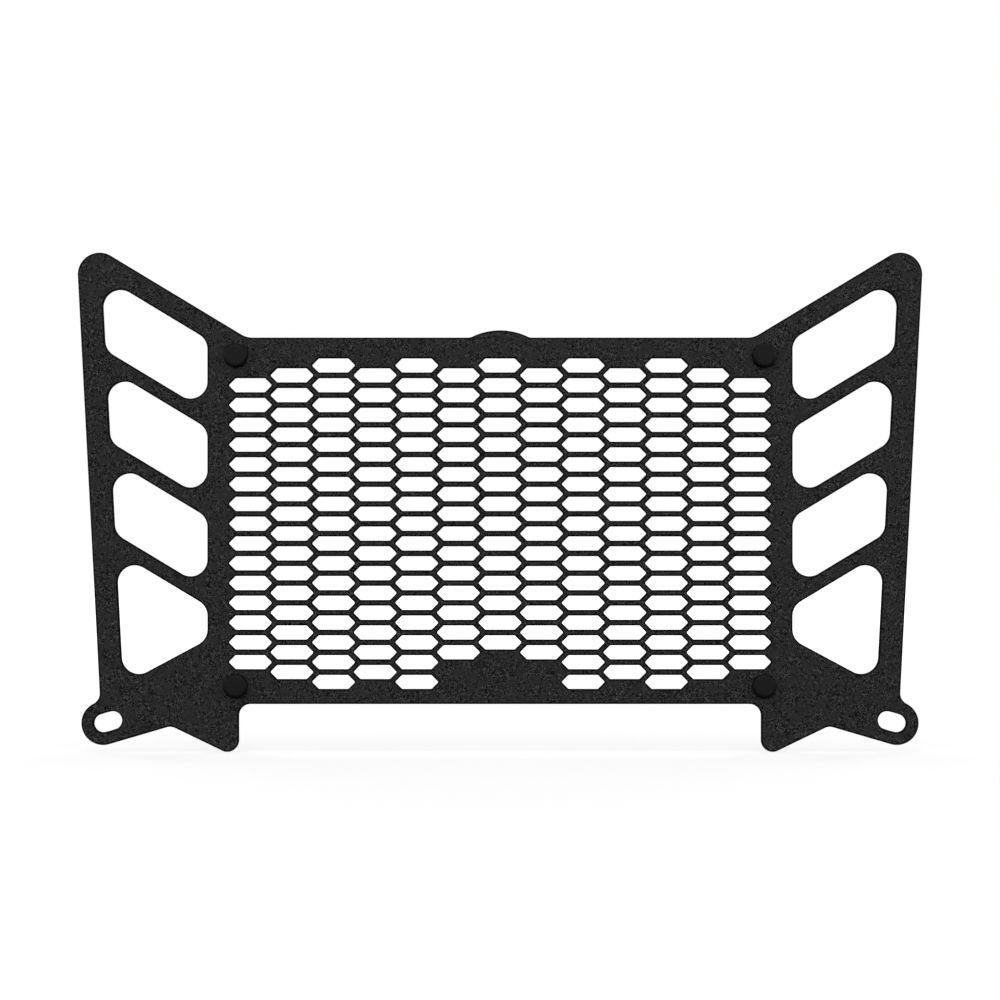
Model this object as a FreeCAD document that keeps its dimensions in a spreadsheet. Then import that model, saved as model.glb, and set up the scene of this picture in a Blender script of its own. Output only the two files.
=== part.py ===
# Oil cooler guard of a motorbike: a flat sheet with a hexagon mesh, held by two slotted ears,
# and four rubber buffers pushed into the corners of the mesh.
# Millimetres, +Z up. The front of the guard faces -Y and +X is to the right of someone who faces it.
# The origin lies midway between the two ear slots, on the rear face of the sheet.
import FreeCAD, Part
import Sketcher
import math
import os

SIZES = {
    "sheet_thick": 2.0,
    # ears with the mounting slots
    "slot_span": 269.3,
    "slot_width": 6.5,
    "slot_travel": 3.5,
    "ear_tilt": 16.3,
    "ear_radius": 7.5,
    # outline of the sheet, as sharp corners and slopes
    "top_edge": 132.0,
    "bottom_edge": 6.1,
    "shoulder_x": 87.1,
    "wing_slope": 31.1,
    "wing_tip_x": 145.8,
    "outer_lean": 3.0,
    "notch_x": 113.0,
    "leg_slope": 25.7,
    "leg_x": 89.7,
    "wing_radius": 7.5,
    "corner_radius": 4.0,
    # low hump in the middle of the top edge
    "hump_rise": 2.5,
    "hump_radius": 22.0,
    # slanted windows in the wings
    "window_inner_x": 100.4,
    "outer_rail": 8.0,
    "top_rail": 7.4,
    "window_pitch": 30.55,
    "window_rib": 4.7,
    "window_foot_z": 28.2,
    "window_foot_slope": 28.2,
    "window_radius": 6.0,
    # hexagon mesh
    "cell_height": 5.1,
    "cell_flat": 10.2,
    "mesh_web": 1.7,
    "mesh_top_rim": 7.0,
    "mesh_foot_rim": 4.5,
    "mesh_side_rim": 6.0,
    # rubber buffers
    "buffer_x": 90.7,
    "buffer_inset": 6.2,
    "neck_width": 5.0,
    "neck_clearance": 0.1,
    "head_width": 8.4,
    "head_height": 3.0,
    "head_bevel": 0.7,
    "foot_width": 11.0,
    "foot_height": 5.0,
    "foot_bevel": 1.0,
}

WINDOWS = 4
PLAIN_CELLS = {0: 2, 1: 1}      # cells left out at the foot of the middle columns, for a plain web

# Places that several sketches share, as expressions over the sheet
EAR_X = "(sizes.slot_span / 2 + sizes.slot_travel / 2 * cos(sizes.ear_tilt))"
EAR_Z = "(-sizes.slot_travel / 2 * sin(sizes.ear_tilt))"
WING_TIP_Z = "(sizes.top_edge + (sizes.wing_tip_x - sizes.shoulder_x) * tan(sizes.wing_slope))"
BUFFER_TOP_Z = "(sizes.top_edge - sizes.buffer_inset)"
BUFFER_FOOT_Z = "(sizes.bottom_edge + sizes.buffer_inset)"
CELL_TIP = "((sizes.cell_flat + sizes.cell_height) / 2)"
ROW_PITCH = "(sizes.cell_height + sizes.mesh_web)"
COLUMN_PITCH = "(sizes.cell_flat + sizes.cell_height - (sizes.cell_height + sizes.mesh_web) / 2" \
    " + sizes.mesh_web * sqrt(2))"

ORIGIN = -1                     # the sketch's own origin, as a geometry number
START, END, CENTRE = 1, 2, 3    # points of a sketch element


def make_sheet(document):
    """Put every driving size in a spreadsheet cell with its name as alias."""
    cells = document.addObject("Spreadsheet::Sheet", "sizes")
    for row, (alias, number) in enumerate(SIZES.items(), start=1):
        cells.set(f"A{row}", alias)
        cells.set(f"B{row}", str(number))
        cells.setAlias(f"B{row}", alias)
    document.recompute()
    return cells


def size(expression):
    """The number that an expression over the sheet gives now."""
    return float(sheet.evalExpression(expression))


def new_sketch(body, name, role="XZ_Plane"):
    """An empty sketch on one of the body's own origin planes."""
    plane = next(item for item in body.Origin.OriginFeatures if item.Role == role)
    sketch = body.newObject("Sketcher::SketchObject", name)
    sketch.AttachmentSupport = [(plane, "")]
    sketch.MapMode = "FlatFace"
    return sketch


def bind(sketch, kind, places, expression):
    """Add a constraint whose size follows an expression over the sheet."""
    index = sketch.addConstraint(Sketcher.Constraint(kind, *places, size(expression)))
    sketch.setExpression(f"Constraints[{index}]", expression)


def place(sketch, element, point, x, z):
    """Bind a point of a sketch element to a pair of expressions."""
    bind(sketch, "DistanceX", (ORIGIN, START, element, point), x)
    bind(sketch, "DistanceY", (ORIGIN, START, element, point), z)


def draw_polygon(sketch, corners):
    """Draw a closed polygon through corners given as pairs of expressions."""
    points = [FreeCAD.Vector(size(x), size(z), 0) for x, z in corners]
    sides = [sketch.addGeometry(Part.LineSegment(*ends)) for ends in zip(points, points[1:] + points[:1])]
    for side, following, (x, z) in zip(sides, sides[1:] + sides[:1], corners):
        sketch.addConstraint(Sketcher.Constraint("Coincident", side, END, following, START))
        place(sketch, side, START, x, z)


def draw_circle(sketch, x, z, radius):
    """Draw a circle whose centre and radius are expressions."""
    centre = FreeCAD.Vector(size(x), size(z), 0)
    circle = sketch.addGeometry(Part.Circle(centre, FreeCAD.Vector(0, 0, 1), size(radius)))
    place(sketch, circle, CENTRE, x, z)
    bind(sketch, "Radius", (circle,), radius)


def draw_slot(sketch, inner, outer, radius):
    """Draw a slot with round ends about two centres, each a pair of expressions."""
    inner_x, inner_z = (size(axis) for axis in inner)
    outer_x, outer_z = (size(axis) for axis in outer)
    along = math.atan2(outer_z - inner_z, outer_x - inner_x)
    quarter = math.pi / 2
    across = FreeCAD.Vector(-math.sin(along), math.cos(along), 0) * size(radius)
    middles = FreeCAD.Vector(inner_x, inner_z, 0), FreeCAD.Vector(outer_x, outer_z, 0)
    axis = FreeCAD.Vector(0, 0, 1)
    circles = [Part.Circle(middle, axis, size(radius)) for middle in middles]
    far_end = sketch.addGeometry(Part.ArcOfCircle(circles[1], along - quarter, along + quarter))
    upper = sketch.addGeometry(Part.LineSegment(middles[1] + across, middles[0] + across))
    near_end = sketch.addGeometry(Part.ArcOfCircle(circles[0], along + quarter, along + 3 * quarter))
    lower = sketch.addGeometry(Part.LineSegment(middles[0] - across, middles[1] - across))
    ring = (far_end, upper, near_end, lower)
    for element, following in zip(ring, ring[1:] + ring[:1]):
        sketch.addConstraint(Sketcher.Constraint("Tangent", element, END, following, START))
    place(sketch, near_end, CENTRE, *inner)
    place(sketch, far_end, CENTRE, *outer)
    bind(sketch, "Radius", (near_end,), radius)
    sketch.addConstraint(Sketcher.Constraint("Equal", near_end, far_end))


def draw_half_hump(sketch):
    """Draw the right half of the hump, a cap of a large circle, and give the place where it ends."""
    middle_z = "(sizes.top_edge + sizes.hump_rise - sizes.hump_radius)"
    half_chord = "sqrt(sizes.hump_rise * (2 * sizes.hump_radius - sizes.hump_rise))"
    middle = FreeCAD.Vector(0, size(middle_z), 0)
    foot = FreeCAD.Vector(0, size("sizes.top_edge"), 0)
    end = FreeCAD.Vector(size(half_chord), size("sizes.top_edge"), 0)
    circle = Part.Circle(middle, FreeCAD.Vector(0, 0, 1), size("sizes.hump_radius"))
    end_angle = math.atan2(end.y - middle.y, end.x)
    arc = sketch.addGeometry(Part.ArcOfCircle(circle, end_angle, math.pi / 2))
    upright = sketch.addGeometry(Part.LineSegment(sketch.getPoint(arc, END), foot))
    base = sketch.addGeometry(Part.LineSegment(foot, end))
    ring = (arc, upright, base)
    for element, following in zip(ring, ring[1:] + ring[:1]):
        sketch.addConstraint(Sketcher.Constraint("Coincident", element, END, following, START))
    sketch.addConstraint(Sketcher.Constraint("Vertical", upright))
    sketch.addConstraint(Sketcher.Constraint("Horizontal", base))
    place(sketch, arc, CENTRE, "0", middle_z)
    place(sketch, base, START, "0", "sizes.top_edge")
    bind(sketch, "Radius", (arc,), "sizes.hump_radius")
    return half_chord, "sizes.top_edge"


def add_pad(body, sketch, name):
    """Pad a sketch on the rear face to the thickness of the sheet, towards the front."""
    pad = body.newObject("PartDesign::Pad", name)
    pad.Profile = sketch
    pad.setExpression("Length", "sizes.sheet_thick")
    sketch.Visibility = False
    doc.recompute()
    return pad


def cut_through(body, sketch, name):
    """Cut a sketch on the rear face through the sheet, and make sure that it took material away."""
    before = body.Tip.Shape.Volume
    pocket = body.newObject("PartDesign::Pocket", name)
    pocket.Profile = sketch
    pocket.setExpression("Length", "sizes.sheet_thick")
    pocket.Reversed = True
    pocket.Refine = False
    sketch.Visibility = False
    doc.recompute()
    if not pocket.Shape.Volume < before:
        raise RuntimeError(f"{name} cuts nothing")
    return pocket


def round_corners(body, places, radius, name):
    """Round the edges that cross the sheet nearest to the given places, pairs of expressions."""
    base = body.Tip
    crossing = []
    for number, edge in enumerate(base.Shape.Edges, start=1):
        first, last = edge.Vertexes[0].Point, edge.Vertexes[-1].Point
        if math.hypot(last.x - first.x, last.z - first.z) < 1e-6 < abs(last.y - first.y):
            crossing.append((f"Edge{number}", first.x, first.z))
    chosen = []
    for x, z in places:
        spot = size(x), size(z)
        chosen.append(min(crossing, key=lambda edge: math.dist(edge[1:], spot))[0])
    fillet = body.newObject("PartDesign::Fillet", name)
    fillet.Base = (base, chosen)
    fillet.setExpression("Radius", radius)
    doc.recompute()
    return fillet


def half_outline():
    """The corners of the right half of the sheet, without the round ear, as expressions."""
    ear_foot_x = f"({EAR_X} - sizes.ear_radius * sin(sizes.ear_tilt))"
    ear_foot_z = f"({EAR_Z} - sizes.ear_radius * cos(sizes.ear_tilt))"
    notch_z = f"({ear_foot_z} + ({ear_foot_x} - sizes.notch_x) * tan(sizes.ear_tilt))"
    leg_tip_z = f"({notch_z} - (sizes.notch_x - sizes.leg_x) * tan(sizes.leg_slope))"
    side_foot_x = f"(sizes.wing_tip_x - ({WING_TIP_Z} - {EAR_Z}) * tan(sizes.outer_lean))"
    return {
        "middle foot": ("0", "sizes.bottom_edge"),
        "leg root": ("sizes.leg_x", "sizes.bottom_edge"),
        "leg tip": ("sizes.leg_x", leg_tip_z),
        "notch": ("sizes.notch_x", notch_z),
        "ear foot": (ear_foot_x, ear_foot_z),
        "side foot": (side_foot_x, EAR_Z),
        "wing tip": ("sizes.wing_tip_x", WING_TIP_Z),
        "shoulder": ("sizes.shoulder_x", "sizes.top_edge"),
        "middle top": ("0", "sizes.top_edge"),
    }


def window_corners(number):
    """The corners of one wing window, counted from the top, as expressions."""
    slant = "tan(sizes.wing_slope)"
    first_z = f"(sizes.top_edge + (sizes.window_inner_x - sizes.shoulder_x) * {slant}" \
        " - sizes.top_rail / cos(sizes.wing_slope))"
    top_z = f"({first_z} - {number} * sizes.window_pitch)"
    foot_z = f"({top_z} - sizes.window_pitch + sizes.window_rib / cos(sizes.wing_slope))"
    foot_slope = slant
    if number == WINDOWS - 1:
        foot_z = "sizes.window_foot_z"
        foot_slope = "(-tan(sizes.window_foot_slope))"
    # The outer side runs beside the outer edge: x = side_x + z * lean, and the slanted sides meet it
    lean = "tan(sizes.outer_lean)"
    side_x = f"(sizes.wing_tip_x - {WING_TIP_Z} * {lean} - sizes.outer_rail / cos(sizes.outer_lean))"
    corners = [("sizes.window_inner_x", top_z), ("sizes.window_inner_x", foot_z)]
    for level, slope in ((foot_z, foot_slope), (top_z, slant)):
        z = f"(({level} + ({side_x} - sizes.window_inner_x) * {slope}) / (1 - {slope} * {lean}))"
        corners.append((f"({side_x} + {z} * {lean})", z))
    return corners


def mesh_columns():
    """Each column of the right half as (cells, x, z of its first cell), as many as fit on the sheet."""
    rim = "sizes.mesh_top_rim"
    height = size(f"sizes.top_edge - {rim} - sizes.bottom_edge - sizes.mesh_foot_rim + sizes.mesh_web")
    rows = math.floor(height / size(ROW_PITCH))
    room = size(f"sizes.window_inner_x - sizes.mesh_side_rim - {CELL_TIP}")
    last = math.floor(room / size(COLUMN_PITCH))
    columns = []
    for number in range(last + 1):
        # Odd columns sit half a row lower, and the last one leaves both ends free for the buffers
        steps = number % 2 / 2 + (1 if number == last else 0)
        cells = rows - number % 2 - (2 if number == last else 0) - PLAIN_CELLS.get(number, 0)
        z = f"(sizes.top_edge - {rim} - sizes.cell_height / 2 - {steps} * {ROW_PITCH})"
        columns.append((cells, f"({number} * {COLUMN_PITCH})", z))
    return columns


def draw_cell(sketch, x, z):
    """Draw one cell of the mesh about its middle: a long hexagon with square points."""
    half_flat, half_height = "sizes.cell_flat / 2", "sizes.cell_height / 2"
    draw_polygon(sketch, [
        (f"{x} - {CELL_TIP}", z),
        (f"{x} - {half_flat}", f"{z} - {half_height}"),
        (f"{x} + {half_flat}", f"{z} - {half_height}"),
        (f"{x} + {CELL_TIP}", z),
        (f"{x} + {half_flat}", f"{z} + {half_height}"),
        (f"{x} - {half_flat}", f"{z} + {half_height}"),
    ])


def cut_mesh(body):
    """Cut the mesh of the right half: the first cells repeated downwards, then the longer columns."""
    columns = mesh_columns()
    shared = min(cells for cells, x, z in columns)
    first = new_sketch(body, "first_cells")
    for cells, x, z in columns:
        draw_cell(first, x, z)
    pocket = cut_through(body, first, "first_cell_cuts")
    rows = body.newObject("PartDesign::LinearPattern", "shared_rows")
    rows.Originals = [pocket]
    rows.Direction = (first, ["V_Axis"])
    rows.Reversed = True
    rows.Mode = "Spacing"
    rows.setExpression("Offset", ROW_PITCH)
    rows.Occurrences = shared
    rows.Refine = False
    body.Tip = rows
    doc.recompute()
    foot = new_sketch(body, "foot_cells")
    for cells, x, z in columns:
        for row in range(shared, cells):
            draw_cell(foot, x, f"({z} - {row} * {ROW_PITCH})")
    cut_through(body, foot, "foot_cell_cuts")


def make_panel():
    """The sheet: its right half with ear, windows and mesh, then the same mirrored."""
    body = doc.addObject("PartDesign::Body", "guard_panel")
    corners = half_outline()

    plate = new_sketch(body, "half_outline")
    draw_polygon(plate, list(corners.values()))
    add_pad(body, plate, "half_plate")
    ear = new_sketch(body, "ear_outline")
    draw_circle(ear, EAR_X, EAR_Z, "sizes.ear_radius")
    add_pad(body, ear, "ear")
    hump = new_sketch(body, "half_hump_outline")
    hump_end = draw_half_hump(hump)
    add_pad(body, hump, "half_hump")
    # The outer edge runs into the ear a little outside and above the middle of its disc
    ear_root = f"({EAR_X} + sizes.ear_radius / 2)", f"({EAR_Z} + sizes.ear_radius)"
    small = [corners["leg root"], corners["leg tip"], corners["notch"], ear_root, hump_end]
    round_corners(body, small, "sizes.corner_radius", "small_corners")
    large = [corners["wing tip"], corners["shoulder"]]
    round_corners(body, large, "sizes.wing_radius", "wing_corners")

    windows = [window_corners(number) for number in range(WINDOWS)]
    panes = new_sketch(body, "window_outlines")
    for window in windows:
        draw_polygon(panes, window)
    cut_through(body, panes, "windows")
    round_corners(body, sum(windows, []), "sizes.window_radius", "window_corners")

    slot = new_sketch(body, "slot_outline")
    inner = f"(sizes.slot_span - {EAR_X})", f"(-{EAR_Z})"
    draw_slot(slot, inner, (EAR_X, EAR_Z), "sizes.slot_width / 2")
    cut_through(body, slot, "ear_slot")
    holes = new_sketch(body, "buffer_hole_outlines")
    for z in (BUFFER_TOP_Z, BUFFER_FOOT_Z):
        draw_circle(holes, "sizes.buffer_x", z, "sizes.neck_width / 2 + sizes.neck_clearance")
    cut_through(body, holes, "buffer_holes")

    cut_mesh(body)
    # The halves keep their own faces, because one face with all the cells in it is slow to work on
    mirror = body.newObject("PartDesign::Mirrored", "left_half")
    mirror.TransformMode = "Whole shape"
    mirror.MirrorPlane = (plate, ["V_Axis"])
    mirror.Refine = False
    body.Tip = mirror
    doc.recompute()
    return body


def make_buffers():
    """The turned rubber buffers: bevelled head in front, neck in the sheet and bevelled foot behind."""
    body = doc.addObject("PartDesign::Body", "rubber_buffers")
    body.AllowCompound = True
    profile = new_sketch(body, "buffer_profile", "XY_Plane")
    draw_polygon(profile, [
        ("0", "-sizes.sheet_thick - sizes.head_height"),
        ("sizes.head_width / 2 - sizes.head_bevel", "-sizes.sheet_thick - sizes.head_height"),
        ("sizes.head_width / 2", "-sizes.sheet_thick - sizes.head_height + sizes.head_bevel"),
        ("sizes.head_width / 2", "-sizes.sheet_thick"),
        ("sizes.neck_width / 2", "-sizes.sheet_thick"),
        ("sizes.neck_width / 2", "0"),
        ("sizes.foot_width / 2", "0"),
        ("sizes.foot_width / 2", "sizes.foot_height - sizes.foot_bevel"),
        ("sizes.foot_width / 2 - sizes.foot_bevel", "sizes.foot_height"),
        ("0", "sizes.foot_height"),
    ])
    buffer = body.newObject("PartDesign::Revolution", "buffer")
    buffer.Profile = profile
    buffer.ReferenceAxis = (profile, ["V_Axis"])
    buffer.Angle = 360
    profile.Visibility = False
    doc.recompute()

    for name, axis, distance in (
        ("lower_pair", "H_Axis", "2 * sizes.buffer_x"),
        ("both_pairs", "N_Axis", f"{BUFFER_TOP_Z} - {BUFFER_FOOT_Z}"),
    ):
        pattern = body.newObject("PartDesign::LinearPattern", name)
        pattern.TransformMode = "Whole shape"
        pattern.Direction = (profile, [axis])
        pattern.Mode = "Spacing"
        pattern.setExpression("Offset", distance)
        pattern.Occurrences = 2
        body.Tip = pattern
        doc.recompute()
    body.setExpression("Placement.Base.x", "-sizes.buffer_x")
    body.setExpression("Placement.Base.z", BUFFER_FOOT_Z)
    doc.recompute()
    return body


def write_parts(solids):
    """Check the document and every piece, given with its number of solids, then write the pieces."""
    failed = [item.Label for item in doc.Objects if {"Invalid", "Error"} & set(item.State)]
    failed += [body.Label for body in solids if body.Shape.isNull() or not body.Shape.isValid()]
    failed += [body.Label for body, count in solids.items() if len(body.Shape.Solids) != count]
    if failed:
        raise RuntimeError("failed: " + ", ".join(failed))
    os.makedirs("parts", exist_ok=True)
    for body in solids:
        body.Shape.exportStep(f"parts/{body.Label}.step")


doc = FreeCAD.newDocument("oil_cooler_guard")
sheet = make_sheet(doc)
write_parts({make_panel(): 1, make_buffers(): 4})
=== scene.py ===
# %% [markdown]
# An oil cooler guard, finished in Blender
#
# The guard is one flat sheet, cut to shape and powder coated, with four rubber buffers pushed through it.
# It bolts in front of a motorbike's oil cooler by two slotted ears and keeps stones off the cooler's fins.
# The CAD model already has every outline in its right place. This lesson loads it as a fixed frame, gives
# the sheet the softly rounded edges that a coat leaves, spins the buffers from one profile, and then paints
# and lights them. The guard is in metres, stands upright with +Z up, and shows its front to -Y.

# %% Load the frame
import bpy
import math
import numpy as np
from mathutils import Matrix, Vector
from mathutils.geometry import delaunay_2d_cdt


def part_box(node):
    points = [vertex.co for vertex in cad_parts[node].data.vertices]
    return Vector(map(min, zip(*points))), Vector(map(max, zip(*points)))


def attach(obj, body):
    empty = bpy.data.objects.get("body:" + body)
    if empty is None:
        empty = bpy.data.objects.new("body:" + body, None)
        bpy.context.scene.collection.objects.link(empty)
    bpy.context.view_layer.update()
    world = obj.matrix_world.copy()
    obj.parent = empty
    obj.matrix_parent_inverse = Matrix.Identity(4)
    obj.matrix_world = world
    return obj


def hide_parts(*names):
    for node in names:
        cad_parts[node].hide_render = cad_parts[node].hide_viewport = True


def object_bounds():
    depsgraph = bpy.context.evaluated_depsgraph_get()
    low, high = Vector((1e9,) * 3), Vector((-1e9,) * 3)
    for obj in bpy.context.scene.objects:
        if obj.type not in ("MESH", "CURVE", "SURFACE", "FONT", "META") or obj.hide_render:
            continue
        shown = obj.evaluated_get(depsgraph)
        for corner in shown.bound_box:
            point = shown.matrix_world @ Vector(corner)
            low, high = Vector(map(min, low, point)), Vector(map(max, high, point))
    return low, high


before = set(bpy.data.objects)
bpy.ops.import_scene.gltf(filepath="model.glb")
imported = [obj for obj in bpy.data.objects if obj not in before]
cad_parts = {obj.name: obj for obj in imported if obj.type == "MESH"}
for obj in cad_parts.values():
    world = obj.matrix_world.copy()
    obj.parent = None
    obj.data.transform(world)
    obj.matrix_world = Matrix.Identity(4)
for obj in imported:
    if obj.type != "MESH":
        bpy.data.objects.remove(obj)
cad_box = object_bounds()
MM = 0.001  # a millimetre in metres
print("CAD nodes:", sorted(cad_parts))
print("CAD box in mm:", [[round(v / MM, 2) for v in corner] for corner in cad_box])

# %% [markdown]
# Camera
#
# The photograph looks straight at the front of the guard, and a distance of about a metre is assumed. It
# could be shot with no perspective at all, but then the walls of the openings would not show: in the
# photograph each wall that faces the middle shows as a thin dark line, and that needs a lens. The picture is
# square, and the width it takes in at the guard's front face sets the focal length.

# %% Place the camera
PICTURE_WIDTH = 343.45 * MM  # what the square picture takes in at the guard's front face
PICTURE_MIDDLE_Z = 76.2 * MM
CAMERA_DISTANCE = 950 * MM
SENSOR_MM = 36.0

front_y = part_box("guard_panel")[0].y
camera_data = bpy.data.cameras.new("camera")
camera_data.sensor_width = SENSOR_MM
camera_data.lens = SENSOR_MM * CAMERA_DISTANCE / PICTURE_WIDTH
camera = bpy.data.objects.new("camera", camera_data)
camera.location = (0.0, front_y - CAMERA_DISTANCE, PICTURE_MIDDLE_Z)
camera.rotation_euler = (math.radians(90), 0.0, 0.0)
bpy.context.scene.collection.objects.link(camera)
bpy.context.scene.camera = camera
print(f"Camera: {camera_data.lens:.1f} mm lens on a {SENSOR_MM:.0f} mm sensor")

# %% [markdown]
# Tracing the cut sheet
#
# On the real guard a laser cuts every opening out of one sheet. The outlines could be drawn here a second
# time from their sizes, but the CAD sheet already holds them, so they are read from its front face: an edge
# that only one front triangle uses lies on a cut. Following those edges gives one closed loop for the
# outside and one for every opening. Seen from the front, the sheet always lies on the left of the way a loop
# runs.

# %% Read the front face
SAME_DECIMALS = 7  # corners that agree to this many decimals of a metre are one corner
ON_FACE = 1e-6  # metres from the front face within which a point lies on it


def merged_triangles(mesh):
    """Places and triangles of a CAD mesh with its doubles merged: equal corners get one number."""
    places = np.empty(len(mesh.vertices) * 3)
    mesh.vertices.foreach_get("co", places)
    mesh.calc_loop_triangles()
    corners = np.empty(len(mesh.loop_triangles) * 3, dtype=np.int64)
    mesh.loop_triangles.foreach_get("vertices", corners)
    places, number = np.unique(places.reshape(-1, 3).round(SAME_DECIMALS), axis=0, return_inverse=True)
    return places, number.reshape(-1)[corners].reshape(-1, 3)


def cut_edges(triangles, count):
    """Start and end of each edge that one triangle alone has: its reverse is in no other triangle."""
    start = triangles.reshape(-1)
    end = np.roll(triangles, -1, axis=1).reshape(-1)
    alone = ~np.isin(start * count + end, end * count + start)
    return start[alone], end[alone]


panel_places, panel_triangles = merged_triangles(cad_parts["guard_panel"].data)
on_front = np.all(panel_places[panel_triangles, 1] < front_y + ON_FACE, axis=1)
edge_start, edge_end = cut_edges(panel_triangles[on_front], len(panel_places))
print(f"Front face: {on_front.sum()} triangles, {len(edge_start)} edges on cuts")

# %% Follow the edges round each loop


def closed_loops(start, end):
    """Orders edges into closed loops by pointer jumping, and numbers the loops from 0.

    Every point first learns the lowest number in its loop, by looking 1, 2, 4, 8... steps ahead. Then it
    counts its steps to that point in the same doubling way, and the steps give its place in the loop: the
    lowest point comes first, and after it the point with the most steps to go."""
    points = np.sort(start)
    ahead = np.empty(len(points), dtype=np.int64)
    ahead[np.searchsorted(points, start)] = np.searchsorted(points, end)
    rounds = range(math.ceil(math.log2(len(points))) + 1)
    here = np.arange(len(points))

    lowest, hop = here, ahead
    for _ in rounds:
        lowest, hop = np.minimum(lowest, lowest[hop]), hop[hop]

    home = here == lowest
    steps, hop = np.where(home, 0, 1), np.where(home, here, ahead)
    for _ in rounds:
        steps, hop = steps + steps[hop], hop[hop]

    order = np.lexsort((np.where(home, -len(points), -steps), lowest))
    return points[order], np.unique(lowest[order], return_inverse=True)[1].reshape(-1)


loop_points, traced_loop = closed_loops(edge_start, edge_end)
traced = panel_places[loop_points][:, [0, 2]]
print(f"Cuts: {traced_loop.max() + 1} closed loops, {len(traced)} points")

# %% [markdown]
# Corners and arcs
#
# The CAD model hands over each arc as a few straight chords, and each mesh cell with knife-sharp corners. A
# laser leaves a small radius in a corner, and the coat makes it rounder, so both get more points. A
# subdivision modifier could smooth the whole sheet as well, but it would also pull the straight rails soft.
# The turn at each point tells the two apart: a large turn is a corner, a small one may be a step on an arc.

# %% Find the sharp corners
SHARP_TURN = math.radians(25)


def neighbours(loop):
    """Numbers of the points before and after each point, going round within its own loop."""
    here = np.arange(len(loop))
    first = np.searchsorted(loop, loop)
    last = np.searchsorted(loop, loop, side="right") - 1
    return np.where(here == first, last, here - 1), np.where(here == last, first, here + 1)


def unit(a):
    """Each vector divided by its own length."""
    return a / np.linalg.norm(a, axis=-1, keepdims=True)


def cross(a, b):
    """Cross product of flat vectors: positive where b turns left from a."""
    return a[..., 0] * b[..., 1] - a[..., 1] * b[..., 0]


def angle_between(a, b):
    """Angle from a to b: its tangent is their cross product over their dot product."""
    return np.arctan2(cross(a, b), np.sum(a * b, axis=1))


before, after = neighbours(traced_loop)
into = unit(traced - traced[before])
out = unit(traced[after] - traced)
turn = angle_between(into, out)
sharp = np.abs(turn) > SHARP_TURN
print(f"Corners: {sharp.sum()} of {len(traced)} points")

# %% [markdown]
# Finding the arcs
#
# Ears, slots and windows have true radii, which the laser follows in one sweep. Their sizes and places could
# be listed here, but a circle through three points in a row tells as much. Where two such circles in a row
# have the same middle, their points lie on one arc.

# %% Find the chords that lie on arcs
LARGEST_ARC = 40 * MM  # a wider bend counts as straight
SAME_MIDDLE = 0.03  # share of the radius within which two middles count as one
IN_LINE = 1e-15  # square metres; twice the cross product of two chords in line is smaller


def circle_middle(a, b, c):
    """Middle of the circle through three points: where the bisectors of two of its chords meet."""
    b, c = b - a, c - a
    bb, cc = np.sum(b * b, axis=1), np.sum(c * c, axis=1)
    twice = 2 * cross(b, c)
    twice = np.where(np.abs(twice) < IN_LINE, IN_LINE, twice)
    offset = np.stack([c[:, 1] * bb - b[:, 1] * cc, b[:, 0] * cc - c[:, 0] * bb], axis=1)
    return a + offset / twice[:, None]


middle = circle_middle(traced[before], traced, traced[after])
radius = np.linalg.norm(traced - middle, axis=1)
bends = ~sharp & (radius < LARGEST_ARC)
alike = np.linalg.norm(middle - middle[after], axis=1) < SAME_MIDDLE * radius
alike &= bends & bends[after]
on_arc = alike | alike[before]
arc_chord = on_arc | on_arc[after]  # a chord goes by the number of the point it starts from
middle = np.where(on_arc[:, None], middle, middle[after])
print(f"Arcs: {arc_chord.sum()} of {len(traced)} chords")

# %% [markdown]
# Smoothing the loops
#
# Every chord that lies on an arc gets extra points on its own circle, and every sharp corner becomes two
# points a little before and after it. The CAD model could hand over finer chords instead, but a light model
# serves its other uses better. Each point also keeps the direction in which it looks away from the sheet,
# because the edge profile and its shading follow that direction.

# %% Put new points on the arcs
ARC_POINTS = 2  # points added on each arc chord


def arc_spots(start, end, middle, added):
    """Points on each chord's own circle, its start first, and their directions away from the sheet.

    A point is middle + radius x (cos a, sin a), with a in even steps from the start's angle to the end's.
    Its spoke looks away from the sheet where the arc turns left, and into it where the arc turns right."""
    spoke = start - middle
    sweep = angle_between(spoke, end - middle)
    part = np.arange(added + 1) / (added + 1)
    angle = np.arctan2(spoke[:, 1], spoke[:, 0])[:, None] + sweep[:, None] * part
    ray = np.stack([np.cos(angle), np.sin(angle)], axis=2)
    spots = middle[:, None] + ray * np.linalg.norm(spoke, axis=1)[:, None, None]
    return spots, ray * np.sign(sweep)[:, None, None]


spots, facing = arc_spots(traced, traced[after], middle, ARC_POINTS)
kept = np.repeat(arc_chord[:, None], ARC_POINTS + 1, axis=1)
print(f"New points on arcs: {arc_chord.sum() * ARC_POINTS}")

# %% Round the corners
CORNER_RADIUS = 0.45 * MM


def away(along):
    """Direction away from the sheet: a quarter turn to the right of the way the loop runs."""
    return np.stack([along[..., 1], -along[..., 0]], axis=-1)


straight_chord = ~arc_chord
spots[straight_chord, 0] = traced[straight_chord]
facing[straight_chord, 0] = away(out[straight_chord])
kept[:, 0] = True

# A corner of turn t gives way to two points, each radius x tan(t / 2) from it along its two edges
cut_back = (CORNER_RADIUS * np.tan(np.abs(turn[sharp]) / 2))[:, None]
spots[sharp, 0] = traced[sharp] - into[sharp] * cut_back
facing[sharp, 0] = away(into[sharp])
spots[sharp, 1] = traced[sharp] + out[sharp] * cut_back
facing[sharp, 1] = away(out[sharp])
kept[sharp, 1] = True

# A true arc bulges a hair past its chords, so the outline is held inside the box of the CAD sheet
outline = np.clip(spots[kept], traced.min(axis=0), traced.max(axis=0))
outward = facing[kept]
outline_loop = np.repeat(traced_loop, kept.sum(axis=1))
print(f"Smoothed to {len(outline)} points, with {sharp.sum()} sharp corners rounded")

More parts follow.
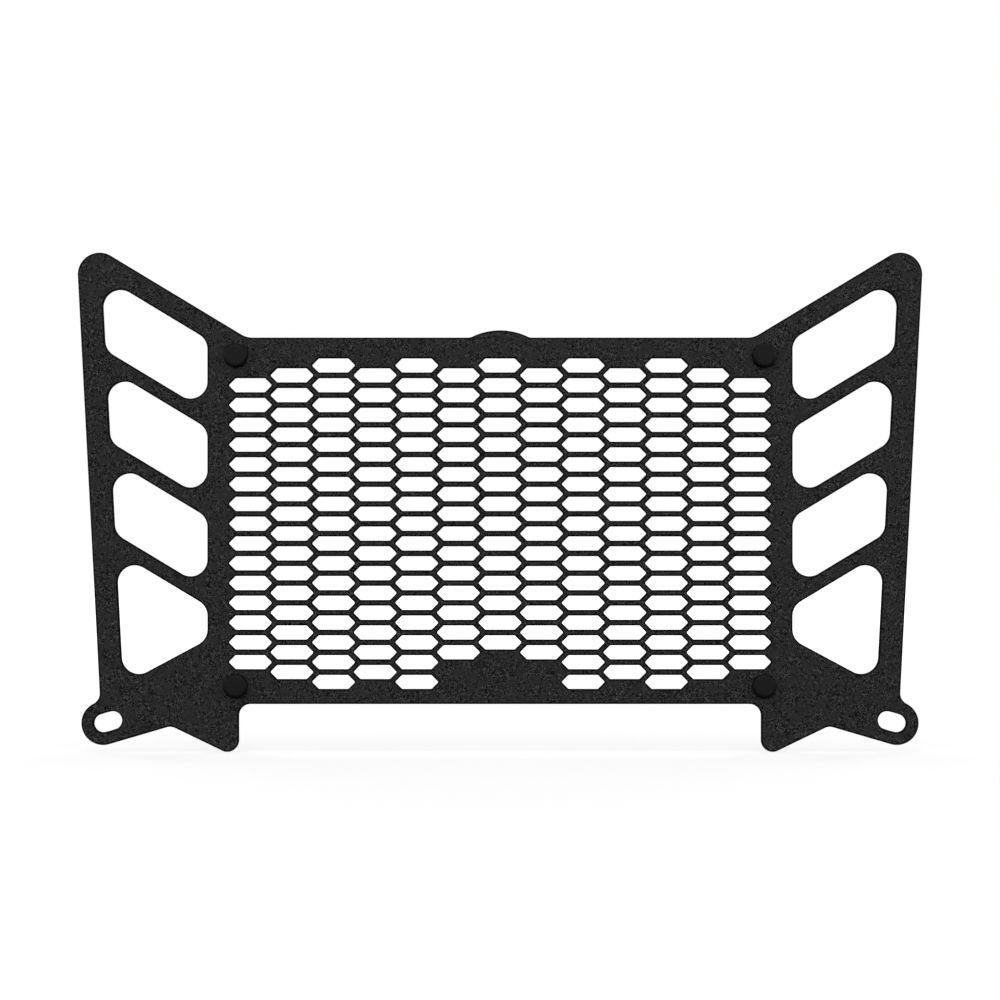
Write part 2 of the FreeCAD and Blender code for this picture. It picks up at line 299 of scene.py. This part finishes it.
# %% [markdown]
# The coated sheet
#
# Powder coat flows a little before it sets, so a cut edge ends up with a soft round and not a knife edge.
# The wall of every cut is therefore a profile carried along a loop: a flattened quarter round off the front
# face, the straight wall, and a quarter round onto the back. The two flat faces are filled between the
# loops. A bevel modifier could round the edges too, but only on a mesh without long thin triangles. The coat
# also gathers a little in the openings. The outer edge stays on the CAD line, because the guard must not
# grow. One attribute, cut_edge, is 0 on the faces and rises to 1 on the walls, so that the coat can change
# over an edge.

# %% Carry the edge profile along every loop
COAT_BUILD = 0.13 * MM  # how far the coat gathers in an opening
ROUND_ACROSS, ROUND_DEEP = 0.7 * MM, 0.36 * MM  # the edge round's reach over the face and down the wall
ROUND_STEPS = 2


def edge_profile(front, back, across, deep, steps):
    """Inset, height, sideways tilt, front tilt and share of the bend, from the front face to the back face.

    Round the front edge the inset is across x (1 - sin t) and the depth deep x (1 - cos t), for t from 0 to
    a right angle: a quarter of an ellipse. Its normal looks deep x sin t sideways and across x cos t to the
    front. The back edge is the same, mirrored."""
    t = np.linspace(0, math.pi / 2, steps + 1)
    inset = across * (1 - np.sin(t))
    depth = deep * (1 - np.cos(t))
    side, ahead = unit(np.stack([deep * np.sin(t), across * np.cos(t)], axis=1)).T
    share = t / (math.pi / 2)
    return (
        np.concatenate([inset, inset[::-1]]),
        np.concatenate([front + depth, back - depth[::-1]]),
        np.concatenate([side, side[::-1]]),
        np.concatenate([-ahead, ahead[::-1]]),
        np.concatenate([share, share[::-1]]),
    )


def outer_loop(points, loop):
    """Number of the loop round the largest area, which is half the sum of its points' cross products."""
    return np.abs(np.bincount(loop, cross(points, points[neighbours(loop)[1]]))).argmax()


def carried(points, facing, inset, height, side, ahead):
    """Places and normals of a profile carried along loops, one row for each point of the profile.

    place = point - inset x facing in X and Z, and the profile's height in Y;
    normal = sideways tilt x facing in X and Z, and front tilt in Y."""
    face_x, face_z = facing.T
    wide = np.ones(len(points))
    place_x = points[:, 0] - np.outer(inset, face_x)
    place_z = points[:, 1] - np.outer(inset, face_z)
    places = np.stack([place_x, np.outer(height, wide), place_z], axis=2)
    normals = np.stack([np.outer(side, face_x), np.outer(ahead, wide), np.outer(side, face_z)], axis=2)
    return places, normals


back_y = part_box("guard_panel")[1].y
*profile, bend_share = edge_profile(front_y, back_y, ROUND_ACROSS, ROUND_DEEP, ROUND_STEPS)
build = COAT_BUILD * (outline_loop != outer_loop(outline, outline_loop))
wall_places, wall_normals = carried(outline + build[:, None] * outward, outward, *profile)
print(f"Cut walls: {wall_places.shape[0]} rows of {wall_places.shape[1]} points")

# %% Fill the flat faces
INSIDE_ONLY = 1  # the triangulation's own number for leaving out what lies outside the outer loop
WELD = 1e-9  # metres within which the triangulation takes two points for one


def face_triangles(points, loop):
    """Triangles that fill a flat face between its loops.

    A constrained triangulation joins all points inside the outer loop and keeps the loops' own edges. Every
    opening is convex, so a triangle with its corners all on one opening lies in the hole and is dropped."""
    edges = np.stack([np.arange(len(loop)), neighbours(loop)[1]], axis=1)
    _, _, found, origin, _, _ = delaunay_2d_cdt(points.tolist(), edges.tolist(), [], INSIDE_ONLY, WELD)
    corners = np.array(origin)[np.array(found), 0]  # the numbers that the corners have in points
    ring = loop[corners]
    on_one = np.all(ring == ring[:, :1], axis=1)
    return corners[~on_one | (ring[:, 0] == outer_loop(points, loop))]


face = face_triangles(wall_places[0][:, [0, 2]], outline_loop)
print(f"Flat faces: {len(face)} triangles on each side")

# %% Make the sheet's mesh


def strip_quads(rows, after):
    """Corner numbers of the quads between rows of points, where after is the next point round in a row."""
    count = len(after)
    row = np.arange(rows - 1)[:, None] * count
    here, there = row + np.arange(count), row + after
    return np.stack([here, here + count, there + count, there], axis=2).reshape(-1, 4)


def mesh_piece(name, places, faces):
    """A piece at the origin from arrays: its places and lists of faces, all shaded smooth."""
    mesh = bpy.data.meshes.new(name)
    mesh.from_pydata(places.reshape(-1, 3).tolist(), [], faces)
    mesh.polygons.foreach_set("use_smooth", np.full(len(mesh.polygons), True))
    mesh.update()
    piece = bpy.data.objects.new(name, mesh)
    bpy.context.scene.collection.objects.link(piece)
    return piece


def give_points(piece, name, values):
    """Stores one number for every point of a piece, under a name that its finish can read."""
    piece.data.attributes.new(name, "FLOAT", "POINT").data.foreach_set("value", values)


walls = strip_quads(len(wall_places), neighbours(outline_loop)[1])
back_face = face[:, ::-1] + (len(wall_places) - 1) * len(outline)
panel_faces = walls.tolist() + face.tolist() + back_face.tolist()
panel = mesh_piece("coated_panel", wall_places, panel_faces)
panel.data.normals_split_custom_set_from_vertices(wall_normals.reshape(-1, 3).tolist())
give_points(panel, "cut_edge", np.repeat(bend_share, len(outline)))
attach(panel, "root")
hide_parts("guard_panel")
print(f"Sheet: {len(panel_faces)} faces, {len(walls)} of them on the walls")

# %% [markdown]
# The rubber buffers
#
# Four moulded buffers stop the sheet from rubbing on the cooler. Each has a flat head in front, a thin neck
# in the sheet's hole and a wider foot behind, dished so that it sits flat. Such a round shape is one
# profile spun about an axis, so a single function of two parameters gives all of it: how far along the
# profile, and how far round. A screw modifier could spin it too, but then the ends would need closing by
# hand. The profile is a chain of runs, each with its points and its normals.

# %% Draw the kinds of run
ARC_STEPS = 6


def quarter(middle_r, middle_y, radius, start, stop):
    """Points and normals of a round: middle + radius x (cos t, sin t), t from start to stop in degrees."""
    t = np.radians(np.linspace(start, stop, ARC_STEPS + 1))
    ray = np.stack([np.cos(t), np.sin(t)], axis=1)
    return np.array([middle_r, middle_y]) + radius * ray, ray


def straight(first, last, facing):
    """The two ends of a straight run, with one normal."""
    return np.array([first, last]), np.array([facing, facing], dtype=float)


def dish(rim_r, floor_r, rim_y, depth):
    """A soft step down from a rim to a floor: y = rim - depth x (1 - cos s) / 2, for s over half a turn."""
    s = np.linspace(0, math.pi, ARC_STEPS + 1)
    slope = depth * math.pi / (2 * (rim_r - floor_r)) * np.sin(s)
    radius = rim_r + (floor_r - rim_r) * s / math.pi
    y = rim_y - depth * (1 - np.cos(s)) / 2
    return np.stack([radius, y], axis=1), unit(np.stack([-slope, np.ones_like(s)], axis=1))


print(f"A curved run has {ARC_STEPS + 1} points, a straight one has 2")

# %% Chain the runs into a buffer
HEAD_WIDTH, HEAD_ROUND = 8.4 * MM, 1.4 * MM
NECK_WIDTH = 4.8 * MM
FOOT_WIDTH, FOOT_ROUND, FOOT_TOP_ROUND = 11.0 * MM, 1.0 * MM, 0.5 * MM
DISH_WIDTH, DISH_FLOOR, DISH_DEPTH = 6.4 * MM, 2.4 * MM, 0.6 * MM


def buffer_runs(head_y, foot_y):
    """Runs of radius and Y down a buffer, each starting where the last one stops.

    They go from the edge of the head's flat, round its rim, in to the neck, out over the foot and into its
    dish. Runs that meet in a tangent look smooth, and the others meet in a corner."""
    head_r, neck_r, foot_r = HEAD_WIDTH / 2, NECK_WIDTH / 2, FOOT_WIDTH / 2
    shoulder_r, shoulder_y = foot_r - FOOT_TOP_ROUND, back_y + FOOT_TOP_ROUND
    return [
        quarter(head_r - HEAD_ROUND, head_y + HEAD_ROUND, HEAD_ROUND, -90, 0),
        straight((head_r, head_y + HEAD_ROUND), (head_r, front_y), (1, 0)),
        straight((head_r, front_y), (neck_r, front_y), (0, 1)),
        straight((neck_r, front_y), (neck_r, back_y), (1, 0)),
        straight((neck_r, back_y), (shoulder_r, back_y), (0, -1)),
        quarter(shoulder_r, shoulder_y, FOOT_TOP_ROUND, -90, 0),
        straight((foot_r, shoulder_y), (foot_r, foot_y - FOOT_ROUND), (1, 0)),
        quarter(foot_r - FOOT_ROUND, foot_y - FOOT_ROUND, FOOT_ROUND, 0, 90),
        straight((foot_r - FOOT_ROUND, foot_y), (DISH_WIDTH / 2, foot_y), (0, 1)),
        dish(DISH_WIDTH / 2, DISH_FLOOR / 2, foot_y, DISH_DEPTH),
    ]


low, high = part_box("rubber_buffers")
runs = buffer_runs(low.y, high.y)
buffer_points = np.concatenate([runs[0][0][:1]] + [points[1:] for points, _ in runs])
strip_start = np.concatenate([normals[:-1] for _, normals in runs])
strip_end = np.concatenate([normals[1:] for _, normals in runs])
sideways = np.abs(np.concatenate([strip_start[:1], strip_end])[:, 0])  # 0 on a flat face, 1 on a side
print(f"Buffer profile: {len(runs)} runs, {len(buffer_points)} points")

# %% Spin the profile
BUFFER_SIDES = 64


def spun(flat, sides):
    """Rows of a flat (radius, Y) list spun round Y: (radius x cos a, Y, radius x sin a), a right round."""
    angle = np.linspace(0, 2 * math.pi, sides, endpoint=False)
    radius, y = flat[:, :1], flat[:, 1:]
    return np.stack([radius * np.cos(angle), y * np.ones(sides), radius * np.sin(angle)], axis=2)


def spun_faces(rows, sides):
    """Quads between the rings, and one flat face on each end."""
    ring = np.arange(sides)
    last_ring = ring[::-1] + (rows - 1) * sides
    return strip_quads(rows, np.roll(ring, -1)).tolist() + [ring.tolist(), last_ring.tolist()]


def spun_normals(start, end, sides):
    """A normal for each corner of those faces: a strip's own two normals, and along Y on the ends."""
    start, end = spun(start, sides), spun(end, sides)
    corners = np.stack([start, end, np.roll(end, -1, axis=1), np.roll(start, -1, axis=1)], axis=2)
    ends = np.repeat([[0.0, -1.0, 0.0], [0.0, 1.0, 0.0]], sides, axis=0)
    return np.concatenate([corners.reshape(-1, 3), ends])


buffer_places = spun(buffer_points, BUFFER_SIDES)
buffer_faces = spun_faces(len(buffer_points), BUFFER_SIDES)
buffer_normals = spun_normals(strip_start, strip_end, BUFFER_SIDES)
print(f"Spun buffer: {len(buffer_faces)} faces")

# %% Set the four buffers in their holes
buffer_x = high.x - FOOT_WIDTH / 2
top_z, foot_z = high.z - FOOT_WIDTH / 2, low.z + FOOT_WIDTH / 2
buffer_spots = {
    "buffer_top_left": (-buffer_x, top_z),
    "buffer_top_right": (buffer_x, top_z),
    "buffer_foot_left": (-buffer_x, foot_z),
    "buffer_foot_right": (buffer_x, foot_z),
}
buffers = []
for name, (x, z) in buffer_spots.items():
    piece = mesh_piece(name, buffer_places + np.array([x, 0, z]), buffer_faces)
    piece.data.normals_split_custom_set(buffer_normals.tolist())
    give_points(piece, "sideways", np.repeat(sideways, BUFFER_SIDES))
    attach(piece, "root")
    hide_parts("rubber_buffers")
    buffers.append(piece)
    print(f"{name} at X {x / MM:.1f}, Z {z / MM:.1f} mm")

# %% [markdown]
# A small kit for shader maths
#
# A finish is a graph of nodes. Wiring each node by hand takes many lines, so one small class wraps a socket:
# arithmetic on it adds Math nodes, and one method adds any other node with its settings and sockets. A few
# helpers then name what every finish here needs: a grey, a noise, a stored number, a bump and a shader.

# %% Wrap the sockets


class Wire:
    """One output in a material's graph. Arithmetic on it adds Math nodes to the same graph."""

    def __init__(self, tree, output=None):
        self.tree, self.output = tree, output

    def node(self, kind, settings=None, sockets=None, out=0):
        """Adds a node: sets its settings, then gives its sockets values or links, and returns an output."""
        made = self.tree.nodes.new(kind)
        for name, value in (settings or {}).items():
            setattr(made, name, value)
        for name, value in (sockets or {}).items():
            if isinstance(value, Wire):
                self.tree.links.new(value.output, made.inputs[name])
            else:
                made.inputs[name].default_value = value
        return Wire(self.tree, made.outputs[out] if len(made.outputs) else None)

    def maths(self, operation, left, right):
        """One Math node on two values, each a number or a wire."""
        return self.node("ShaderNodeMath", {"operation": operation}, {0: left, 1: right})

    def __add__(self, other):
        return self.maths("ADD", self, other)

    def __radd__(self, other):
        return self.maths("ADD", other, self)

    def __sub__(self, other):
        return self.maths("SUBTRACT", self, other)

    def __rsub__(self, other):
        return self.maths("SUBTRACT", other, self)

    def __mul__(self, other):
        return self.maths("MULTIPLY", self, other)

    def __rmul__(self, other):
        return self.maths("MULTIPLY", other, self)

    def stretch(self, low, high):
        """0 where the value is low, 1 where it is high, held there beyond."""
        limits = {"Value": self, "From Min": low, "From Max": high}
        return self.node("ShaderNodeMapRange", {"clamp": True}, limits)

    def mix(self, first, second):
        """A colour between two: the first where this is 0, the second where it is 1.

        A Mix node has sockets for every kind of data: inputs 6 and 7 and output 2 are those for colours."""
        return self.node("ShaderNodeMix", {"data_type": "RGBA"}, {0: self, 6: first, 7: second}, out=2)


print("A wire knows + - * and can stretch a value or mix two colours")

# %% Name what every finish needs


def grey(level):
    """A neutral colour from a screen level of 0 to 255, as the linear value that a shader takes.

    It follows the sRGB curve: a short straight start, and then a power of 2.4."""
    part = level / 255
    value = part / 12.92 if part <= 0.04045 else ((part + 0.055) / 1.055) ** 2.4
    return (value, value, value, 1.0)


def new_finish(name):
    """An empty material and a wire into its graph."""
    material = bpy.data.materials.new(name)
    material.use_nodes = True
    material.node_tree.nodes.clear()
    return material, Wire(material.node_tree)


def object_place(wire):
    """The place of a point in the piece's own coordinates, in metres."""
    return wire.node("ShaderNodeTexCoord", out="Object")


def stored(wire, name):
    """The number that the piece stores at each point under this name."""
    return wire.node("ShaderNodeAttribute", {"attribute_name": name}, out="Fac")


def noise(place, size, detail=2.0, roughness=0.5):
    """Soft random values with features of about this size in metres."""
    sockets = {"Vector": place, "Scale": 1 / size, "Detail": detail, "Roughness": roughness}
    return place.node("ShaderNodeTexNoise", {}, sockets)


def bumped(height, strength, depth):
    """A normal that follows a height from 0 to 1, over a depth in metres."""
    return height.node("ShaderNodeBump", {}, {"Strength": strength, "Distance": depth, "Height": height})


def shade(wire, sockets):
    """A Principled shader with these sockets, joined to the material's output."""
    shader = wire.node("ShaderNodeBsdfPrincipled", {}, sockets)
    wire.node("ShaderNodeOutputMaterial", {}, {"Surface": shader})


print(f"Half-way grey on a screen is {grey(255 / 2)[0]:.2f} in linear light")

# %% [markdown]
# Sand-texture powder coat
#
# The sheet has a fine-texture black powder coat: the powder shrinks as it cures and leaves grains and pits
# about a millimetre across or less. In the photograph they show as light and dark specks on a charcoal grey,
# stronger in some patches than in others. It could be one noise, but that looks even and flat. So two noises
# of different sizes give the grains and pits, a third one their strength, and the same relief drives colour,
# roughness and bump. In the colour the pits are painted dark as shade and the grain tops light as a painted
# highlight, over the coat's own charcoal tone. Towards a cut edge the colour is painted darker, as shade on
# the edge's round.

# %% Work out the coat's relief
GRAIN, PIT, PATCH = 0.42 * MM, 1.1 * MM, 3.0 * MM  # sizes of the grains, the pits and the patches
GRAIN_DETAIL, GRAIN_CRISPNESS = 3.0, 0.6  # finer layers in the grain noise, and how much they count
GRAIN_SHARE = 0.75  # what the grains give of the height; the pits give the rest
MIDDLE_HEIGHT = 0.505  # what the two noises come to on average
CALM_STRENGTH, ADDED_STRENGTH = 0.1, 1.8  # the relief in a calm patch, and what a lively patch adds
PATCH_RANGE = (0.33, 0.67)  # noise in a calm patch and in a lively one
HEIGHT_RANGE = (0.42, 0.73)  # height of the deepest pits and of the highest grains


def coat_relief(wire):
    """The coat's height from 0 to 1: fine grains on wider pits, times how grainy that patch is."""
    place = object_place(wire)
    grains = noise(place, GRAIN, GRAIN_DETAIL, GRAIN_CRISPNESS)
    height = GRAIN_SHARE * grains + (1 - GRAIN_SHARE) * noise(place, PIT)
    strength = CALM_STRENGTH + ADDED_STRENGTH * noise(place, PATCH).stretch(*PATCH_RANGE)
    return (MIDDLE_HEIGHT + (height - MIDDLE_HEIGHT) * strength).stretch(*HEIGHT_RANGE)


coat, wire = new_finish("sand_texture_coat")
relief = coat_relief(wire)
print("Relief:", len(coat.node_tree.nodes), "nodes")

# %% Mix the powder coat
# Pits are painted near black as shade, grain tops light as a painted highlight, and grains at a cut edge
# dark as painted shade on the edge's round.
PIT_PAINTED_SHADE, GRAIN_TONE_AND_HIGHLIGHT, RIM_PAINTED_SHADE = grey(1), grey(98), grey(20)  # pits, grains, and grains at a cut edge
RIM_SHADE_RANGE = (0.0, 0.3)  # share of the bend over which the painted edge shade sets in
PIT_ROUGHNESS, GRAIN_SMOOTHING = 0.78, 0.16  # in a pit, and how much smoother a grain is
COAT_SPECULAR = 0.14
COAT_BUMP, COAT_DEPTH = 0.35, 0.09 * MM

# The rim mask brings in the painted edge shade over the first part of the bend.
rim = stored(wire, "cut_edge").stretch(*RIM_SHADE_RANGE)
shade(wire, {
    "Base Color": relief.mix(PIT_PAINTED_SHADE, rim.mix(GRAIN_TONE_AND_HIGHLIGHT, RIM_PAINTED_SHADE)),
    "Roughness": PIT_ROUGHNESS - GRAIN_SMOOTHING * relief,
    "Specular IOR Level": COAT_SPECULAR,
    "Normal": bumped(relief, COAT_BUMP, COAT_DEPTH),
})
panel.data.materials.append(coat)
print("Coat:", len(coat.node_tree.nodes), "nodes")

# %% [markdown]
# The coat on the walls
#
# Inside the openings the spray gun reaches less well, so the walls carry a thinner, dead matt coat. Its
# colour is painted a little darker than the face as shade, and on the bend itself it is painted nearly black
# as shade along the cut edge. The wall finish could be blended in by the attribute alone, but how strongly a
# surface mirrors its surroundings is one number for a whole shader. So the walls get a finish of their own,
# in a second slot.

# %% Mix the wall coat
WALL_STRIPS = np.arange(1, 2 * ROUND_STEPS)  # strips between the outer parts of the profile's two rounds
# The bend is painted nearly black as shade along the cut edge, and the wall a little darker than the face as
# painted shade.
BEND_PAINTED_SHADE, WALL_TONE_AND_SHADE = grey(29), grey(84)  # grains on the bend and down the wall
WALL_RANGE = (0.75, 1.0)  # share of the bend over which the wall begins
WALL_ROUGHNESS, WALL_SMOOTHING = 0.96, 0.1
WALL_SPECULAR = 0.05
WALL_BUMP, WALL_DEPTH = 0.3, 0.08 * MM

wall_coat, wire = new_finish("thin_wall_coat_with_painted_shade")
relief = coat_relief(wire)
# This mask hands over from the painted bend shade to the wall's own darker, shaded tone.
past_bend = stored(wire, "cut_edge").stretch(*WALL_RANGE)
shade(wire, {
    "Base Color": relief.mix(PIT_PAINTED_SHADE, past_bend.mix(BEND_PAINTED_SHADE, WALL_TONE_AND_SHADE)),
    "Roughness": WALL_ROUGHNESS - WALL_SMOOTHING * relief,
    "Specular IOR Level": WALL_SPECULAR,
    "Normal": bumped(relief, WALL_BUMP, WALL_DEPTH),
})
panel.data.materials.append(wall_coat)
on_wall = np.isin(np.arange(len(panel_faces)) // len(outline), WALL_STRIPS)
panel.data.polygons.foreach_set("material_index", on_wall.astype(np.int32))
print("Wall coat on", on_wall.sum(), "faces")

# %% [markdown]
# Moulded rubber
#
# The buffers are black rubber, smoother and darker than the coat. A mould leaves a faint bloom, so the
# colour drifts a little over a few millimetres, and a very fine grain breaks up the shine. The bloom is kept
# to the flat faces, and the sides are painted a deeper black as shade. It could follow the surface normal,
# but an attribute from the profile, sideways, does the same and is easy to see and edit.

# %% Mix the rubber
BLOOM, MOULD_GRAIN = 2.5 * MM, 0.25 * MM
BLOOM_RANGE = (0.3, 0.7)  # noise where there is no bloom and where it is full
SIDE_SHADE_RANGE = (0.5, 1.0)  # tilt at which a face begins to count as a side, and at which it is one
# The sides of a buffer are painted a deeper black as shade.
FACE_BLACK, FACE_BLOOM, SIDE_PAINTED_SHADE = grey(18), grey(22), grey(7)
RUBBER_ROUGHNESS, BLOOM_ROUGHNESS = 0.55, 0.1  # bare, and what the bloom adds
RUBBER_SPECULAR = 0.2
RUBBER_BUMP, RUBBER_DEPTH = 0.12, 0.02 * MM

rubber, wire = new_finish("moulded_rubber")
place = object_place(wire)
bloom = noise(place, BLOOM).stretch(*BLOOM_RANGE)
# This mask brings in the painted side shade where the profile turns sideways.
side = stored(wire, "sideways").stretch(*SIDE_SHADE_RANGE)
shade(wire, {
    "Base Color": side.mix(bloom.mix(FACE_BLACK, FACE_BLOOM), SIDE_PAINTED_SHADE),
    "Roughness": RUBBER_ROUGHNESS + BLOOM_ROUGHNESS * bloom,
    "Specular IOR Level": RUBBER_SPECULAR,
    "Normal": bumped(noise(place, MOULD_GRAIN), RUBBER_BUMP, RUBBER_DEPTH),
})
for piece in buffers:
    piece.data.materials.append(rubber)
print("Rubber:", len(rubber.node_tree.nodes), "nodes")

# %% [markdown]
# Floor, surround and light
#
# The photograph is a cut-out on clean white with even, frontal light. A white sweep of paper would do the
# same in a studio. Here the floor is pale and glows a little, so that it stays white right up to the guard,
# and the surround is white to the camera and dim to everything else, so that it doesn't fill the cut edges
# with light. Large soft lamps stand all round and above, so that the guard reads well from any side.

# %% Lay the floor
FLOOR_HALF = 6.0  # metres from its middle to its edges
floor_z = cad_box[0].z
floor_places = np.array([[-1, -1, 0], [1, -1, 0], [1, 1, 0], [-1, 1, 0]]) * FLOOR_HALF
floor = mesh_piece("floor", floor_places + np.array([0, 0, floor_z]), [[0, 1, 2, 3]])
floor.visible_diffuse = False
floor.visible_glossy = False
print(f"Floor at Z {floor_z / MM:.1f} mm")

# %% Mix the floor's paper
FIBRE = 3 * MM
FIBRE_RANGE = (0.3, 0.7)
PAPER_DARK, PAPER_LIGHT = (0.38, 0.38, 0.38, 1), (0.4, 0.4, 0.4, 1)
PAPER_ROUGHNESS = 0.9
NEAR_GLOW, FAR_GLOW = (0.7, 0.7, 0.7, 1), (1.0, 1.0, 1.0, 1)
GLOW_RANGE = (0.3, 0.9)  # metres from the origin over which the glow grows

paper, wire = new_finish("pale_floor")
place = object_place(wire)
fibres = noise(place, FIBRE).stretch(*FIBRE_RANGE)
reach = wire.node("ShaderNodeVectorMath", {"operation": "LENGTH"}, {0: place}, out="Value")
shade(wire, {
    "Base Color": fibres.mix(PAPER_DARK, PAPER_LIGHT),
    "Roughness": PAPER_ROUGHNESS,
    "Specular IOR Level": 0.0,
    "Emission Color": reach.stretch(*GLOW_RANGE).mix(NEAR_GLOW, FAR_GLOW),
    "Emission Strength": 1.0,
})
floor.data.materials.append(paper)
print("Paper:", len(paper.node_tree.nodes), "nodes")

# %% Set the surround
SURROUND_SEEN, SURROUND_FELT = 1.0, 0.06  # strength to the camera, and to everything else
WHITE = (1, 1, 1, 1)

world = bpy.data.worlds.new("white_surround")
world.use_nodes = True
world.node_tree.nodes.clear()
sky = Wire(world.node_tree)
seen = sky.node("ShaderNodeLightPath", out="Is Camera Ray")
strength = SURROUND_FELT + seen * (SURROUND_SEEN - SURROUND_FELT)
surround = sky.node("ShaderNodeBackground", {}, {"Color": WHITE, "Strength": strength})
sky.node("ShaderNodeOutputWorld", {}, {"Surface": surround})
bpy.context.scene.world = world
bpy.context.scene.view_settings.view_transform = "Standard"
print("Surround:", len(world.node_tree.nodes), "nodes")

# %% Hang the lamps
LAMPS = {  # place, width and height in metres and power in watts; all look at the guard's middle
    "front_lamp": ((0.0, -1.9, 0.45), 1.8, 1.2, 12.0),
    "left_lamp": ((-1.6, -1.2, 0.6), 1.0, 1.0, 7.0),
    "right_lamp": ((1.6, -1.2, 0.6), 1.0, 1.0, 7.0),
    "top_lamp": ((0.0, -0.3, 1.5), 1.4, 1.0, 8.0),
    "left_side_lamp": ((-2.0, 0.1, 0.5), 1.0, 1.0, 9.0),
    "right_side_lamp": ((2.0, 0.1, 0.5), 1.0, 1.0, 9.0),
    "left_back_lamp": ((-1.1, 1.5, 0.8), 1.0, 1.0, 14.0),
    "right_back_lamp": ((1.1, 1.5, 0.8), 1.0, 1.0, 14.0),
}
guard_middle = (cad_box[0] + cad_box[1]) / 2
for name, (spot, width, height, power) in LAMPS.items():
    lamp_data = bpy.data.lights.new(name, "AREA")
    lamp_data.shape = "RECTANGLE"
    lamp_data.size = width
    lamp_data.size_y = height
    lamp_data.energy = power
    lamp = bpy.data.objects.new(name, lamp_data)
    lamp.location = spot
    lamp.rotation_euler = (guard_middle - Vector(spot)).to_track_quat("-Z", "Y").to_euler()
    lamp.visible_camera = False
    bpy.context.scene.collection.objects.link(lamp)
print("Lamps:", ", ".join(LAMPS))
